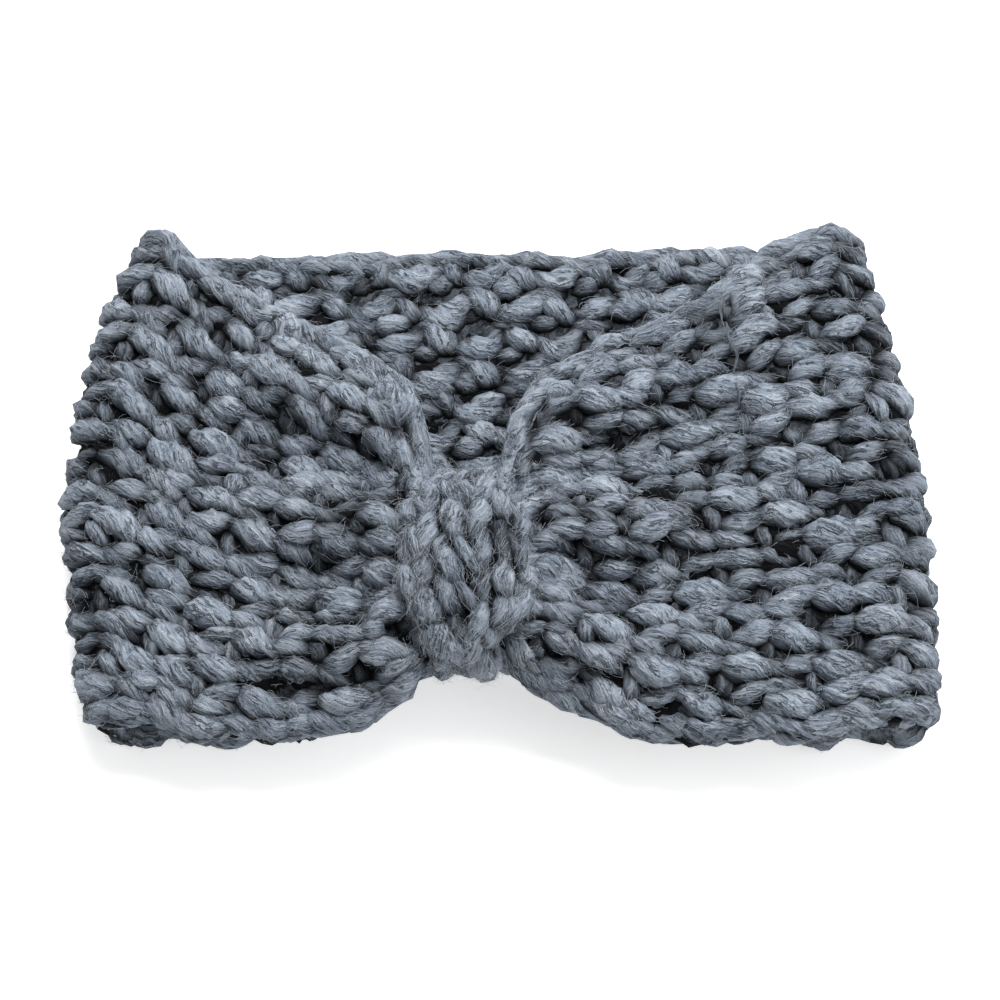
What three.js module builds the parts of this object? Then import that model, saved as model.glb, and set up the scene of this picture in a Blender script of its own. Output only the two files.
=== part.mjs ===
// A crocheted ear warmer headband, lying as it was laid down: one closed loop of very thick
// fabric, a front layer over a back layer, with a short wrap that gathers the front into a knot.
// Millimetres. X runs along the lying band, Y from its lower edge to its upper edge, Z is up.
import * as THREE from 'three';

// The loop of fabric
const bandLength = 240;
const bandWidth = 150;
const fabric = 10;
const hollow = 7;
const pressed = 0.6;

// Its stitches: rows run round the loop, one above the other
const rows = 15;
const stitches = 20;
const rowGroove = 1.8;
const stitchSwell = 0.9;
const edgeSwell = 1.3;

// The gathered neck of the front layer, and where it lies
const knotAlong = -9.5;
const knotUp = -31;
const neckHeight = 40;
const neckDepth = 18;
const pinched = 2.4;
const pleats = 3;
const pleatDepth = 3.6;

// The wrap round the neck
const wrapThickness = 8;
const wrapFrontWidth = 34;
const wrapBackWidth = 26;
const wrapTurnWidth = 19;
const turnLean = 0.35;
const braids = 3;
const braidGroove = 2.2;

// Room that the fabric leaves round the wrap, and how steeply it rises again beside it
const clearance = 0.5;
const sideClearance = 4;
const edgeClearance = 0.8;
const turnClearance = 1.6;
const frontFlank = 1.2;
const edgeFlank = 1.8;

// How squarely a section is filled: a high number is flat with round edges, 2 is an ellipse
const fabricSquareness = 8;
const neckSquareness = 2.6;
const wrapSquareness = 3;
const edgeSharpness = 9;

// Where forms change in the front layer, as shares of the way from the neck to a fold
const pleatsFull = 0.2;
const pleatsFade = 0.25;
const pleatsEnd = 0.85;
const bulkEnd = 0.4;
const roundEnd = 0.5;
const reliefStart = 0.03;
const reliefFull = 0.2;

// Steps of the meshes
const backSteps = 30;
const foldSteps = 7;
const gatherSteps = 24;
const closing = 2;
const neckSteps = 5;
const innerSteps = 12;
const roundEdge = 0.01;
const wrapSteps = 40;
const stepsPerBraid = 6;

// How far each fold reaches sideways, as a share of half the length, up the fabric's height.
const foldReach = [
  { height: 0, left: 0.925, right: 0.985 },
  { height: 0.5, left: 1.01, right: 0.985 },
  { height: 1, left: 0.885, right: 0.88 },
];

// The lower edge, middle and upper edge of the back layer, as shares of half the width, from the
// left fold at -1 to the right fold at 1. The lower edge arches up behind the knot.
const backEdges = [
  { along: -1, lower: -0.95, middle: 0.01, upper: 0.965 },
  { along: -0.75, lower: -0.955, middle: 0.01, upper: 0.98 },
  { along: -0.45, lower: -0.86, middle: 0.01, upper: 0.985 },
  { along: -0.2, lower: -0.69, middle: 0, upper: 1.005 },
  { along: 0.1, lower: -0.69, middle: 0, upper: 1.005 },
  { along: 0.35, lower: -0.8, middle: 0.01, upper: 1.005 },
  { along: 0.6, lower: -0.94, middle: 0.02, upper: 1.015 },
  { along: 1, lower: -0.95, middle: 0.02, upper: 1 },
];

// How far the front layer has opened out on its way from the neck, 0, to a fold, 1: each edge
// as a share of the way from its place in the neck to its place at the fold.
const gatherLeft = [
  { way: 0, lower: 0, upper: 0 },
  { way: 0.01, lower: 0.2, upper: 0.14 },
  { way: 0.025, lower: 0.42, upper: 0.27 },
  { way: 0.05, lower: 0.6, upper: 0.35 },
  { way: 0.09, lower: 0.7, upper: 0.41 },
  { way: 0.17, lower: 0.87, upper: 0.48 },
  { way: 0.32, lower: 1.1, upper: 0.57 },
  { way: 0.56, lower: 1.21, upper: 0.7 },
  { way: 0.78, lower: 1.22, upper: 0.82 },
  { way: 1, lower: 1, upper: 1 },
];
const gatherRight = [
  { way: 0, lower: 0, upper: 0 },
  { way: 0.01, lower: 0.18, upper: 0.1 },
  { way: 0.03, lower: 0.36, upper: 0.22 },
  { way: 0.06, lower: 0.49, upper: 0.33 },
  { way: 0.12, lower: 0.62, upper: 0.43 },
  { way: 0.22, lower: 0.82, upper: 0.49 },
  { way: 0.36, lower: 1.15, upper: 0.58 },
  { way: 0.6, lower: 1.23, upper: 0.72 },
  { way: 0.78, lower: 1.22, upper: 0.88 },
  { way: 1, lower: 1, upper: 1 },
];

// Places that follow from the sizes
const halfLength = bandLength / 2;
const halfWidth = bandWidth / 2;
const foldRadius = (fabric + hollow) / 2;
const backLevel = fabric / 2;
const frontLevel = backLevel + 2 * foldRadius;
const neckLength = wrapTurnWidth + 2 * turnClearance;
const neckLevel = fabric + wrapThickness + 2 * clearance + neckDepth / 2;
const neckTop = knotUp + neckHeight / 2;
const neckBottom = knotUp - neckHeight / 2;
const { lerp, smoothstep, clamp } = THREE.MathUtils;

// Reads a column of a table at a place, on a smooth curve through the rows.
function readTable(table, key, column, place) {
  const at = clamp(place, table[0][key], table[table.length - 1][key]);
  const last = table.length - 2;
  const row = Math.min(last, Math.max(0, table.findIndex((entry) => entry[key] > at) - 1));
  const index = at >= table[last + 1][key] ? last : row;
  const slope = (i) => {
    const before = table[Math.max(i - 1, 0)];
    const after = table[Math.min(i + 1, table.length - 1)];
    return (after[column] - before[column]) / (after[key] - before[key]);
  };
  const [from, to] = [table[index], table[index + 1]];
  const span = to[key] - from[key];
  const t = (at - from[key]) / span;
  const rise = to[column] - from[column];
  const start = slope(index) * span;
  const end = slope(index + 1) * span;
  return from[column] + t * (start + t * (3 * rise - 2 * start - end + t * (start + end - 2 * rise)));
}

// A curve through a lower, a middle and an upper value.
function throughThree(lower, middle, upper, height) {
  const low = (1 - height) * (1 - 2 * height);
  const high = height * (2 * height - 1);
  return lower * low + middle * 4 * height * (1 - height) + upper * high;
}

// The share of a section's half depth that is left at a share of its half height.
function fullness(share, squareness) {
  return Math.max(0, 1 - Math.abs(share) ** squareness) ** (1 / squareness);
}

// Where the axis of a fold runs at a height of the fabric.
function foldAxis(side, height) {
  const column = side < 0 ? 'left' : 'right';
  const [low, middle, high] = foldReach.map((entry) => entry[column]);
  const reach = throughThree(low, middle, high, height) * halfLength;
  return side * (reach - fabric / 2 - foldRadius);
}

function backUp(along, height) {
  const [low, middle, high] = ['lower', 'middle', 'upper'].map(
    (column) => readTable(backEdges, 'along', column, along));
  return throughThree(low, middle, high, height) * halfWidth;
}

// The front layer's height above the lying surface's middle line, on the way to a fold.
function frontUp(side, way, height) {
  const table = side < 0 ? gatherLeft : gatherRight;
  const openLower = readTable(table, 'way', 'lower', way);
  const openUpper = readTable(table, 'way', 'upper', way);
  const lower = lerp(neckBottom, backUp(side, 0), openLower);
  const upper = lerp(neckTop, backUp(side, 1), openUpper);
  const droop = smoothstep(way, 0, 1) * (backUp(side, 0.5) - (backUp(side, 0) + backUp(side, 1)) / 2);
  return throughThree(lower, (lower + upper) / 2 + droop, upper, height);
}

// The stitches' relief on the outer face: grooves between rows and staggered swells in them.
function stitchRelief(turn, height) {
  const hill = Math.abs(Math.sin(Math.PI * rows * height));
  const row = Math.min(rows - 1, Math.floor(rows * height));
  const swell = Math.cos(2 * Math.PI * (stitches * turn + row / 2));
  return stitchSwell * swell * hill - rowGroove * (1 - hill);
}

// Half the width of the wrap, which narrows as its faces lean over to turn round the neck.
function wrapHalfWidth(lean, crossWidth) {
  return lerp(wrapTurnWidth, crossWidth, smoothstep(Math.abs(lean), turnLean, 1)) / 2;
}

// How far from the neck's level the front layer may reach, so that it dips under the wrap and
// rises beside it.
function roomUnderWrap(across, up, crossWidth) {
  const aside = Math.abs(up - knotUp);
  const share = Math.min(1, aside / (neckHeight / 2));
  const depth = (neckDepth / 2) * fullness(share, neckSquareness);
  const nearShare = clamp((aside - sideClearance) / (neckHeight / 2), 0, 1);
  const lean = Math.sqrt(1 - nearShare ** neckSquareness);
  const edge = wrapHalfWidth(lean, crossWidth) + lerp(edgeClearance, sideClearance, lean);
  const beside = Math.max(0, Math.abs(across - knotAlong) - edge);
  return Math.max(pinched / 2, depth + lerp(edgeFlank, frontFlank, lean) * beside);
}

// One place on the loop: the middle of the fabric, the way out of the loop, and its section.
// The back layer is pressed flat where it lies, so its outer face has no relief.
function backPlace(share, height) {
  const across = lerp(foldAxis(-1, height), foldAxis(1, height), share);
  const middle = new THREE.Vector3(across, backUp(2 * share - 1, height), backLevel);
  const out = new THREE.Vector3(0, 0, -1);
  return { middle, out, depth: fabric, squareness: fabricSquareness, relief: 0, gathered: false };
}

function foldPlace(side, share, height) {
  const angle = Math.PI * share;
  const raised = (1 - Math.cos(angle)) / 2;
  const out = new THREE.Vector3(side * Math.sin(angle), 0, -Math.cos(angle));
  const middle = out.clone().multiplyScalar(foldRadius);
  middle.add(new THREE.Vector3(foldAxis(side, height), backUp(side, height), backLevel + foldRadius));
  const relief = smoothstep(raised, 0, 0.5);
  return { middle, out, depth: fabric, squareness: fabricSquareness, relief, gathered: false };
}

function frontPlace(side, way, height) {
  const neckSide = knotAlong + side * neckLength / 2;
  const across = lerp(neckSide, foldAxis(side, height), way);
  const open = smoothstep(way, 0, 1);
  const swell = smoothstep(way, 0, pleatsFull) * (1 - smoothstep(way, pleatsFade, pleatsEnd));
  const wave = -pleatDepth * swell * Math.cos(2 * Math.PI * pleats * height);
  const level = lerp(neckLevel, frontLevel, open) + wave * fullness(2 * height - 1, fabricSquareness);
  const middle = new THREE.Vector3(across, frontUp(side, way, height), level);
  return {
    middle,
    out: new THREE.Vector3(0, 0, 1),
    depth: lerp(neckDepth, fabric, smoothstep(way, 0, bulkEnd)),
    squareness: lerp(neckSquareness, fabricSquareness, smoothstep(way, 0, roundEnd)),
    relief: smoothstep(way, reliefStart, reliefFull),
    gathered: true,
  };
}

function neckPlace(share, height) {
  const across = knotAlong + (0.5 - share) * neckLength;
  const middle = new THREE.Vector3(across, lerp(neckBottom, neckTop, height), neckLevel);
  const out = new THREE.Vector3(0, 0, 1);
  return { middle, out, depth: neckDepth, squareness: neckSquareness, relief: 0, gathered: true };
}

// The places round the loop: along the back, up the right fold, back along the front to the
// neck, on to the left fold and down it. The steps close up towards the neck. The run is how
// far along the loop a place lies.
function loopPlaces() {
  const places = [];
  let before = 0;
  const stretch = (steps, length, share, place) => {
    for (let i = 0; i < steps; i += 1) {
      places.push({ run: before + length * share(i / steps), at: place(i / steps) });
    }
    before += length;
  };
  const even = (t) => t;
  const leftAxis = foldAxis(-1, 0.5);
  const rightAxis = foldAxis(1, 0.5);
  const foldRun = Math.PI * foldRadius;
  const leftRun = knotAlong - neckLength / 2 - leftAxis;
  const rightRun = rightAxis - knotAlong - neckLength / 2;
  stretch(backSteps, rightAxis - leftAxis, even, (t) => (height) => backPlace(t, height));
  stretch(foldSteps, foldRun, even, (t) => (height) => foldPlace(1, t, height));
  stretch(gatherSteps, rightRun, (t) => 1 - (1 - t) ** closing,
    (t) => (height) => frontPlace(1, (1 - t) ** closing, height));
  stretch(neckSteps, neckLength, even, (t) => (height) => neckPlace(t, height));
  stretch(gatherSteps, leftRun, (t) => t ** closing,
    (t) => (height) => frontPlace(-1, t ** closing, height));
  stretch(foldSteps, foldRun, even, (t) => (height) => foldPlace(-1, 1 - t, height));
  return places.map(({ run, at }) => ({ turn: run / before, at }));
}

// The heights of a section: the round edges, then the top and the foot of each row.
function outerHeights() {
  const heights = [0, roundEdge];
  for (let i = 1; i < 2 * rows; i += 1) {
    heights.push(i / (2 * rows));
  }
  heights.push(1 - roundEdge, 1);
  return heights;
}

function innerHeights() {
  const heights = [1 - roundEdge];
  for (let i = innerSteps - 1; i > 0; i -= 1) {
    heights.push(i / innerSteps);
  }
  heights.push(roundEdge);
  return heights;
}

// A point of the fabric's surface: face is 1 on the outside of the loop and -1 inside it.
function fabricPoint({ turn, at }, height, face) {
  const { middle, out, depth, squareness, relief, gathered } = at(height);
  const full = fullness(2 * height - 1, squareness);
  const raise = face > 0 ? relief * full * stitchRelief(turn, height) : 0;
  const point = middle.clone().addScaledVector(out, face * full * depth / 2 + raise);
  const scallop = edgeSwell * relief * Math.cos(2 * Math.PI * stitches * turn);
  point.y += scallop * (2 * height - 1) ** edgeSharpness;
  if (gathered) {
    const crossWidth = face > 0 ? wrapFrontWidth : wrapBackWidth;
    const room = roomUnderWrap(point.x, point.y, crossWidth);
    point.z = clamp(point.z, neckLevel - room, neckLevel + room);
  }
  point.z = Math.max(point.z, pressed);
  return point;
}

// A closed skin over sections that close on themselves and follow one another round a ring.
function closedSkin(sections) {
  const size = sections[0].length;
  const positions = sections.flat().flatMap((point) => point.toArray());
  const index = [];
  sections.forEach((section, i) => {
    const here = i * size;
    const next = ((i + 1) % sections.length) * size;
    for (let j = 0; j < size; j += 1) {
      const up = (j + 1) % size;
      index.push(here + j, next + up, next + j);
      index.push(here + j, here + up, next + up);
    }
  });
  const geometry = new THREE.BufferGeometry();
  geometry.setAttribute('position', new THREE.Float32BufferAttribute(positions, 3));
  geometry.setIndex(index);
  geometry.computeVertexNormals();
  return geometry;
}

function bandGeometry() {
  const sections = loopPlaces().map((place) => {
    const outer = outerHeights().map((height) => fabricPoint(place, height, 1));
    const inner = innerHeights().map((height) => fabricPoint(place, height, -1));
    return [...outer, ...inner];
  });
  return closedSkin(sections);
}

// A point of the neck's outline raised by a distance, at an angle from straight up.
function roundNeck(angle, across, raise) {
  const round = (value) => Math.sign(value) * Math.abs(value) ** (2 / neckSquareness);
  const up = round(Math.sin(angle));
  const forward = round(Math.cos(angle));
  const steep = (share, half) => Math.sign(share) * Math.abs(share) ** (neckSquareness - 1) / half;
  const normal = new THREE.Vector3(0, steep(up, neckHeight / 2), steep(forward, neckDepth / 2));
  const point = new THREE.Vector3(
    knotAlong + across,
    knotUp + up * neckHeight / 2,
    neckLevel + forward * neckDepth / 2,
  );
  return point.addScaledVector(normal.normalize(), raise);
}

// A section of the wrap: a strap with braids along it, rounded at its sides.
function wrapSection(angle) {
  const lean = Math.cos(angle);
  const halfStrap = wrapHalfWidth(lean, lean > 0 ? wrapFrontWidth : wrapBackWidth);
  const outerSteps = braids * stepsPerBraid;
  const section = [];
  for (let i = 0; i <= outerSteps; i += 1) {
    const across = -Math.cos(Math.PI * i / outerSteps);
    const ridge = Math.abs(Math.sin(Math.PI * braids * (across + 1) / 2));
    const body = (wrapThickness - braidGroove * (1 - ridge)) * fullness(across, wrapSquareness);
    section.push(roundNeck(angle, across * halfStrap, clearance + body));
  }
  for (let i = stepsPerBraid - 1; i > 0; i -= 1) {
    section.push(roundNeck(angle, (2 * i / stepsPerBraid - 1) * halfStrap, clearance));
  }
  return section;
}

function wrapGeometry() {
  const sections = [];
  for (let i = 0; i < wrapSteps; i += 1) {
    sections.push(wrapSection(2 * Math.PI * i / wrapSteps));
  }
  return closedSkin(sections);
}

function yarn(color) {
  return new THREE.MeshStandardMaterial({ color, roughness: 0.95, metalness: 0, flatShading: true });
}

const band = new THREE.Mesh(bandGeometry(), yarn(0x62696f));
band.name = 'band';
const centerWrap = new THREE.Mesh(wrapGeometry(), yarn(0x6c737c));
centerWrap.name = 'center_wrap';

const headband = new THREE.Group();
headband.add(band, centerWrap);

// The origin lies under the middle of the whole, on the surface that it rests on.
const extent = new THREE.Box3().setFromObject(headband);
const centre = extent.getCenter(new THREE.Vector3());
headband.position.set(-centre.x, -centre.y, -extent.min.z);

export default headband;
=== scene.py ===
# %% [markdown]
# # A crocheted ear warmer, stitch by stitch
# This lesson dresses a plain solid model of an ear warmer in the yarn that it is made of. The
# real thing is one closed loop of very thick crocheted fabric, laid flat, with a short braided
# wrap that pinches its front layer into a knot. The solid model gives the form and the sizes.
# Here every stitch becomes its own piece of yarn.
# %% The solid model, loaded as a fixed frame
import math

import bpy
import numpy as np
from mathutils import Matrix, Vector


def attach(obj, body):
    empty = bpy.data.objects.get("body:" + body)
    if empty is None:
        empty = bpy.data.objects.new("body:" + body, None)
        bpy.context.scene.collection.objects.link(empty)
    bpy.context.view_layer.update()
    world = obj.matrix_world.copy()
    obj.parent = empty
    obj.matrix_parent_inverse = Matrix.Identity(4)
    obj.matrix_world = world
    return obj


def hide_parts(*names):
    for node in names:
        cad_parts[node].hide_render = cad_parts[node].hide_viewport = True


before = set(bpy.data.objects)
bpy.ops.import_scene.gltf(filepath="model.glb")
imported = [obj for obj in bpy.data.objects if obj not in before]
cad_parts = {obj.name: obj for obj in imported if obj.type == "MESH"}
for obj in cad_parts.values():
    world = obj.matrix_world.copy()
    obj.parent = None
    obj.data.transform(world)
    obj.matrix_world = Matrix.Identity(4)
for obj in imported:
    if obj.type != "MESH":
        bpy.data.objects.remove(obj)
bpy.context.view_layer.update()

# %% [markdown]
# ## The sizes
# A maker works from a gauge: how long a stitch is and how high a row is. This loop has 20
# stitches round it and 15 rows across it. The sizes below are the ones of the solid model, in
# millimetres, so that the yarn lies exactly where the model's surface is.
# %% The loop, its stitches, its neck and the wrap round it, in millimetres
MM = 0.001
HALF_LENGTH, HALF_WIDTH = 120.0, 75.0
FABRIC, HOLLOW = 10.0, 7.0
ROWS, STITCHES = 15, 20
KNOT_ALONG, KNOT_UP = -9.5, -31.0
NECK_HEIGHT, NECK_DEPTH = 40.0, 18.0
PINCHED, PLEATS, PLEAT_DEPTH = 2.4, 3, 3.6
WRAP_THICKNESS, WRAP_FRONT, WRAP_BACK, WRAP_TURN = 8.0, 34.0, 26.0, 19.0
TURN_LEAN, BRAIDS = 0.35, 3
CLEARANCE, SIDE_CLEARANCE, EDGE_CLEARANCE, TURN_CLEARANCE = 0.5, 4.0, 0.8, 1.6
FRONT_FLANK, EDGE_FLANK = 1.2, 1.8
FABRIC_SQUARE, NECK_SQUARE, WRAP_SQUARE = 8.0, 2.6, 3.0
EDGE_SWELL, EDGE_SHARPNESS = 1.3, 9
PLEATS_FULL, PLEATS_FADE, PLEATS_END = 0.2, 0.25, 0.85
BULK_END, ROUND_END = 0.4, 0.5
FRAME_SHIFT = (0.66335, 0.42553, -0.6)

FOLD_RADIUS = (FABRIC + HOLLOW) / 2
BACK_LEVEL = FABRIC / 2
FRONT_LEVEL = BACK_LEVEL + 2 * FOLD_RADIUS
NECK_LENGTH = WRAP_TURN + 2 * TURN_CLEARANCE
NECK_LEVEL = FABRIC + WRAP_THICKNESS + 2 * CLEARANCE + NECK_DEPTH / 2
NECK_TOP, NECK_BOTTOM = KNOT_UP + NECK_HEIGHT / 2, KNOT_UP - NECK_HEIGHT / 2

# %% Short tables: how the folds, the back's edges and the gathers run
FOLD_REACH = {"height": (0, 0.5, 1), "left": (0.925, 1.01, 0.885), "right": (0.985, 0.985, 0.88)}
BACK_EDGES = {
    "along": (-1, -0.75, -0.45, -0.2, 0.1, 0.35, 0.6, 1),
    "lower": (-0.95, -0.955, -0.86, -0.69, -0.69, -0.8, -0.94, -0.95),
    "middle": (0.01, 0.01, 0.01, 0, 0, 0.01, 0.02, 0.02),
    "upper": (0.965, 0.98, 0.985, 1.005, 1.005, 1.005, 1.015, 1),
}
GATHER_LEFT = {
    "way": (0, 0.01, 0.025, 0.05, 0.09, 0.17, 0.32, 0.56, 0.78, 1),
    "lower": (0, 0.2, 0.42, 0.6, 0.7, 0.87, 1.1, 1.21, 1.22, 1),
    "upper": (0, 0.14, 0.27, 0.35, 0.41, 0.48, 0.57, 0.7, 0.82, 1),
}
GATHER_RIGHT = {
    "way": (0, 0.01, 0.03, 0.06, 0.12, 0.22, 0.36, 0.6, 0.78, 1),
    "lower": (0, 0.18, 0.36, 0.49, 0.62, 0.82, 1.15, 1.23, 1.22, 1),
    "upper": (0, 0.1, 0.22, 0.33, 0.43, 0.49, 0.58, 0.72, 0.88, 1),
}


def read_table(table, key, column, place):
    """Reads a column of a table at a place, on a smooth curve through the rows."""
    x, y = np.array(table[key], float), np.array(table[column], float)
    at = np.clip(place, x[0], x[-1])
    i = np.clip(np.searchsorted(x, at, side="right") - 1, 0, len(x) - 2)
    before = np.maximum(np.arange(len(x)) - 1, 0)
    after = np.minimum(np.arange(len(x)) + 1, len(x) - 1)
    slope = (y[after] - y[before]) / (x[after] - x[before])
    span, rise = x[i + 1] - x[i], y[i + 1] - y[i]
    t, start, end = (at - x[i]) / span, slope[i] * span, slope[i + 1] * span
    return y[i] + t * (start + t * (3 * rise - 2 * start - end + t * (start + end - 2 * rise)))


# %% [markdown]
# ## Where the fabric lies
# The fabric is one loop: along the back, round the right fold, over the front to the neck in
# the wrap, on to the left fold and down. A place on it has two coordinates: the turn, from 0
# to 1 round the loop, and the height, from its lower edge to its upper edge. The functions
# below turn those two into a point in space, so a flat piece of crochet can be laid on it.
# %% Small helpers for curves
def mix(a, b, t):
    return a + (b - a) * t


def smooth(value, start, end):
    t = np.clip((value - start) / (end - start), 0, 1)
    return t * t * (3 - 2 * t)


def through_three(lower, middle, upper, h):
    return lower * (1 - h) * (1 - 2 * h) + middle * 4 * h * (1 - h) + upper * h * (2 * h - 1)


def fullness(share, squareness):
    return np.maximum(0, 1 - np.abs(share) ** squareness) ** (1 / squareness)


# %% The axis of a fold, the lying back layer and the gathered front layer
def fold_axis(side, h):
    reach = through_three(*FOLD_REACH["left" if side < 0 else "right"], h) * HALF_LENGTH
    return side * (reach - FABRIC / 2 - FOLD_RADIUS)


def back_up(along, h):
    edges = [read_table(BACK_EDGES, "along", c, along) for c in ("lower", "middle", "upper")]
    return through_three(*edges, h) * HALF_WIDTH


def front_up(side, way, h):
    table = GATHER_LEFT if side < 0 else GATHER_RIGHT
    low, high = back_up(side, 0.0), back_up(side, 1.0)
    lower = mix(NECK_BOTTOM, low, read_table(table, "way", "lower", way))
    upper = mix(NECK_TOP, high, read_table(table, "way", "upper", way))
    droop = smooth(way, 0, 1) * (back_up(side, 0.5) - (low + high) / 2)
    return through_three(lower, (lower + upper) / 2 + droop, upper, h)


def wrap_half_width(lean, cross):
    return mix(WRAP_TURN, cross, smooth(np.abs(lean), TURN_LEAN, 1)) / 2


def room_under_wrap(across, up, cross):
    aside = np.abs(up - KNOT_UP)
    depth = NECK_DEPTH / 2 * fullness(np.minimum(1, aside * 2 / NECK_HEIGHT), NECK_SQUARE)
    near = np.clip((aside - SIDE_CLEARANCE) * 2 / NECK_HEIGHT, 0, 1)
    lean = np.sqrt(1 - near ** NECK_SQUARE)
    edge = wrap_half_width(lean, cross) + mix(EDGE_CLEARANCE, SIDE_CLEARANCE, lean)
    beside = np.maximum(0, np.abs(across - KNOT_ALONG) - edge)
    return np.maximum(PINCHED / 2, depth + mix(EDGE_FLANK, FRONT_FLANK, lean) * beside)


# %% [markdown]
# Near the neck, fifteen rows share the height of four. Real fabric doesn't shrink there: some
# rows crowd into the pleats and sink out of sight, and the others stay as large as they are.
# BUNCH draws the rows together in the valleys of the pleats, and DIVE sinks them.
# %% Places on the four stretches of the loop
BUNCH, DIVE = 0.62, 3.0
BUNCH_FULL, BUNCH_END = 0.12, 0.75


def back_place(side, share, v):
    across = mix(fold_axis(-1, v), fold_axis(1, v), share)
    out = np.array((0, 0, -1.0)) * np.ones((len(v), 1))
    middle = np.stack([across, back_up(2 * share - 1, v), np.full_like(v, BACK_LEVEL)], 1)
    return middle, out, FABRIC, FABRIC_SQUARE


def fold_place(side, share, v):
    angle = math.pi * (share if side > 0 else 1 - share)
    out = np.array((side * math.sin(angle), 0, -math.cos(angle))) * np.ones((len(v), 1))
    axis = np.stack([fold_axis(side, v), back_up(side, v),
                     np.full_like(v, BACK_LEVEL + FOLD_RADIUS)], 1)
    return axis + out * FOLD_RADIUS, out, FABRIC, FABRIC_SQUARE


def front_place(side, share, v):
    way = 1 - share if side > 0 else share
    bunched = 1 - smooth(way, BUNCH_FULL, BUNCH_END)
    h = v - BUNCH * bunched * np.sin(2 * math.pi * PLEATS * v) / (2 * math.pi * PLEATS)
    across = mix(KNOT_ALONG + side * NECK_LENGTH / 2, fold_axis(side, h), way)
    swell = smooth(way, 0, PLEATS_FULL) * (1 - smooth(way, PLEATS_FADE, PLEATS_END))
    valley = np.cos(2 * math.pi * PLEATS * h)
    wave = -(PLEAT_DEPTH * valley + DIVE * (1 + valley) / 2) * swell
    level = mix(NECK_LEVEL, FRONT_LEVEL, smooth(way, 0, 1)) + wave * fullness(2 * h - 1, 8)
    middle = np.stack([across, front_up(side, way, h), level], 1)
    out = np.array((0, 0, 1.0)) * np.ones((len(v), 1))
    depth = mix(NECK_DEPTH, FABRIC, smooth(way, 0, BULK_END))
    return middle, out, depth, mix(NECK_SQUARE, FABRIC_SQUARE, smooth(way, 0, ROUND_END))


def neck_place(side, share, v):
    h = v - BUNCH * np.sin(2 * math.pi * PLEATS * v) / (2 * math.pi * PLEATS)
    across = np.full_like(v, KNOT_ALONG + (0.5 - share) * NECK_LENGTH)
    middle = np.stack([across, mix(NECK_BOTTOM, NECK_TOP, h), np.full_like(v, NECK_LEVEL)], 1)
    return middle, np.array((0, 0, 1.0)) * np.ones((len(v), 1)), NECK_DEPTH, NECK_SQUARE


# %% The stretches in their order, and a point of either face of the fabric
LEFT_AXIS, RIGHT_AXIS = fold_axis(-1, 0.5), fold_axis(1, 0.5)
FOLD_RUN = math.pi * FOLD_RADIUS
STRETCHES = [
    (back_place, 0, RIGHT_AXIS - LEFT_AXIS),
    (fold_place, 1, FOLD_RUN),
    (front_place, 1, RIGHT_AXIS - KNOT_ALONG - NECK_LENGTH / 2),
    (neck_place, 0, NECK_LENGTH),
    (front_place, -1, KNOT_ALONG - NECK_LENGTH / 2 - LEFT_AXIS),
    (fold_place, -1, FOLD_RUN),
]
LOOP = sum(length for _, _, length in STRETCHES)
STITCH, ROW = LOOP / STITCHES, 2 * HALF_WIDTH / ROWS
print(f"loop {LOOP:.0f} mm, a stitch {STITCH:.1f} mm, a row {ROW:.1f} mm")


def place_on_loop(turn, v):
    run = (turn % 1) * LOOP
    for place, side, length in STRETCHES:
        if run < length:
            return (place in (front_place, neck_place),) + place(side, run / length, v)
        run -= length
    return (False,) + back_place(0, 0, v)


def skin_column(turn, v, face):
    """Points of one face of the fabric at a turn, for an array of heights."""
    gathered, middle, out, depth, squareness = place_on_loop(turn, v)
    full = fullness(2 * v - 1, squareness)[:, None]
    points = middle + out * face * full * depth / 2
    scallop = EDGE_SWELL * np.cos(2 * math.pi * STITCHES * turn)
    points[:, 1] += scallop * (2 * v - 1) ** EDGE_SHARPNESS * (0 if gathered and depth > 17 else 1)
    if gathered:
        room = room_under_wrap(points[:, 0], points[:, 1], WRAP_FRONT if face > 0 else WRAP_BACK)
        points[:, 2] = np.clip(points[:, 2], NECK_LEVEL - room, NECK_LEVEL + room)
    points[:, 2] = np.maximum(points[:, 2], -FRAME_SHIFT[2])
    return points + np.array(FRAME_SHIFT)


# %% [markdown]
# ## The skins
# A skin is a fine grid on one face of the fabric. It isn't shown. It carries a UV map named
# swatch, which says which point of a flat piece of crochet comes to lie where, so it works as
# a tailor's form. Because the map runs from 0 to 1 both ways, one tree of nodes can lay any
# stitch on any skin.
# %% A grid of points made a mesh with a UV map
def skin_mesh(name, grid, flip):
    """grid is an array of rows x columns x 3 in millimetres; u runs along its first axis."""
    across, up = grid.shape[:2]
    cells = np.arange(across * up).reshape(across, up)
    quads = np.stack([cells[:-1, :-1], cells[1:, :-1], cells[1:, 1:], cells[:-1, 1:]], -1)
    quads = quads.reshape(-1, 4)[:, ::-1] if flip else quads.reshape(-1, 4)
    mesh = bpy.data.meshes.new(name)
    mesh.from_pydata((grid.reshape(-1, 3) * MM).tolist(), [], quads.tolist())
    u, v = np.meshgrid(np.linspace(0, 1, across), np.linspace(0, 1, up), indexing="ij")
    places = np.stack([u.ravel(), v.ravel()], 1)[quads.ravel()]
    mesh.uv_layers.new(name="swatch").data.foreach_set("uv", places.astype(np.float32).ravel())
    mesh.shade_smooth()
    skin = bpy.data.objects.new(name, mesh)
    bpy.context.scene.collection.objects.link(skin)
    print(name, "skin:", len(mesh.polygons), "faces")
    return skin


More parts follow.
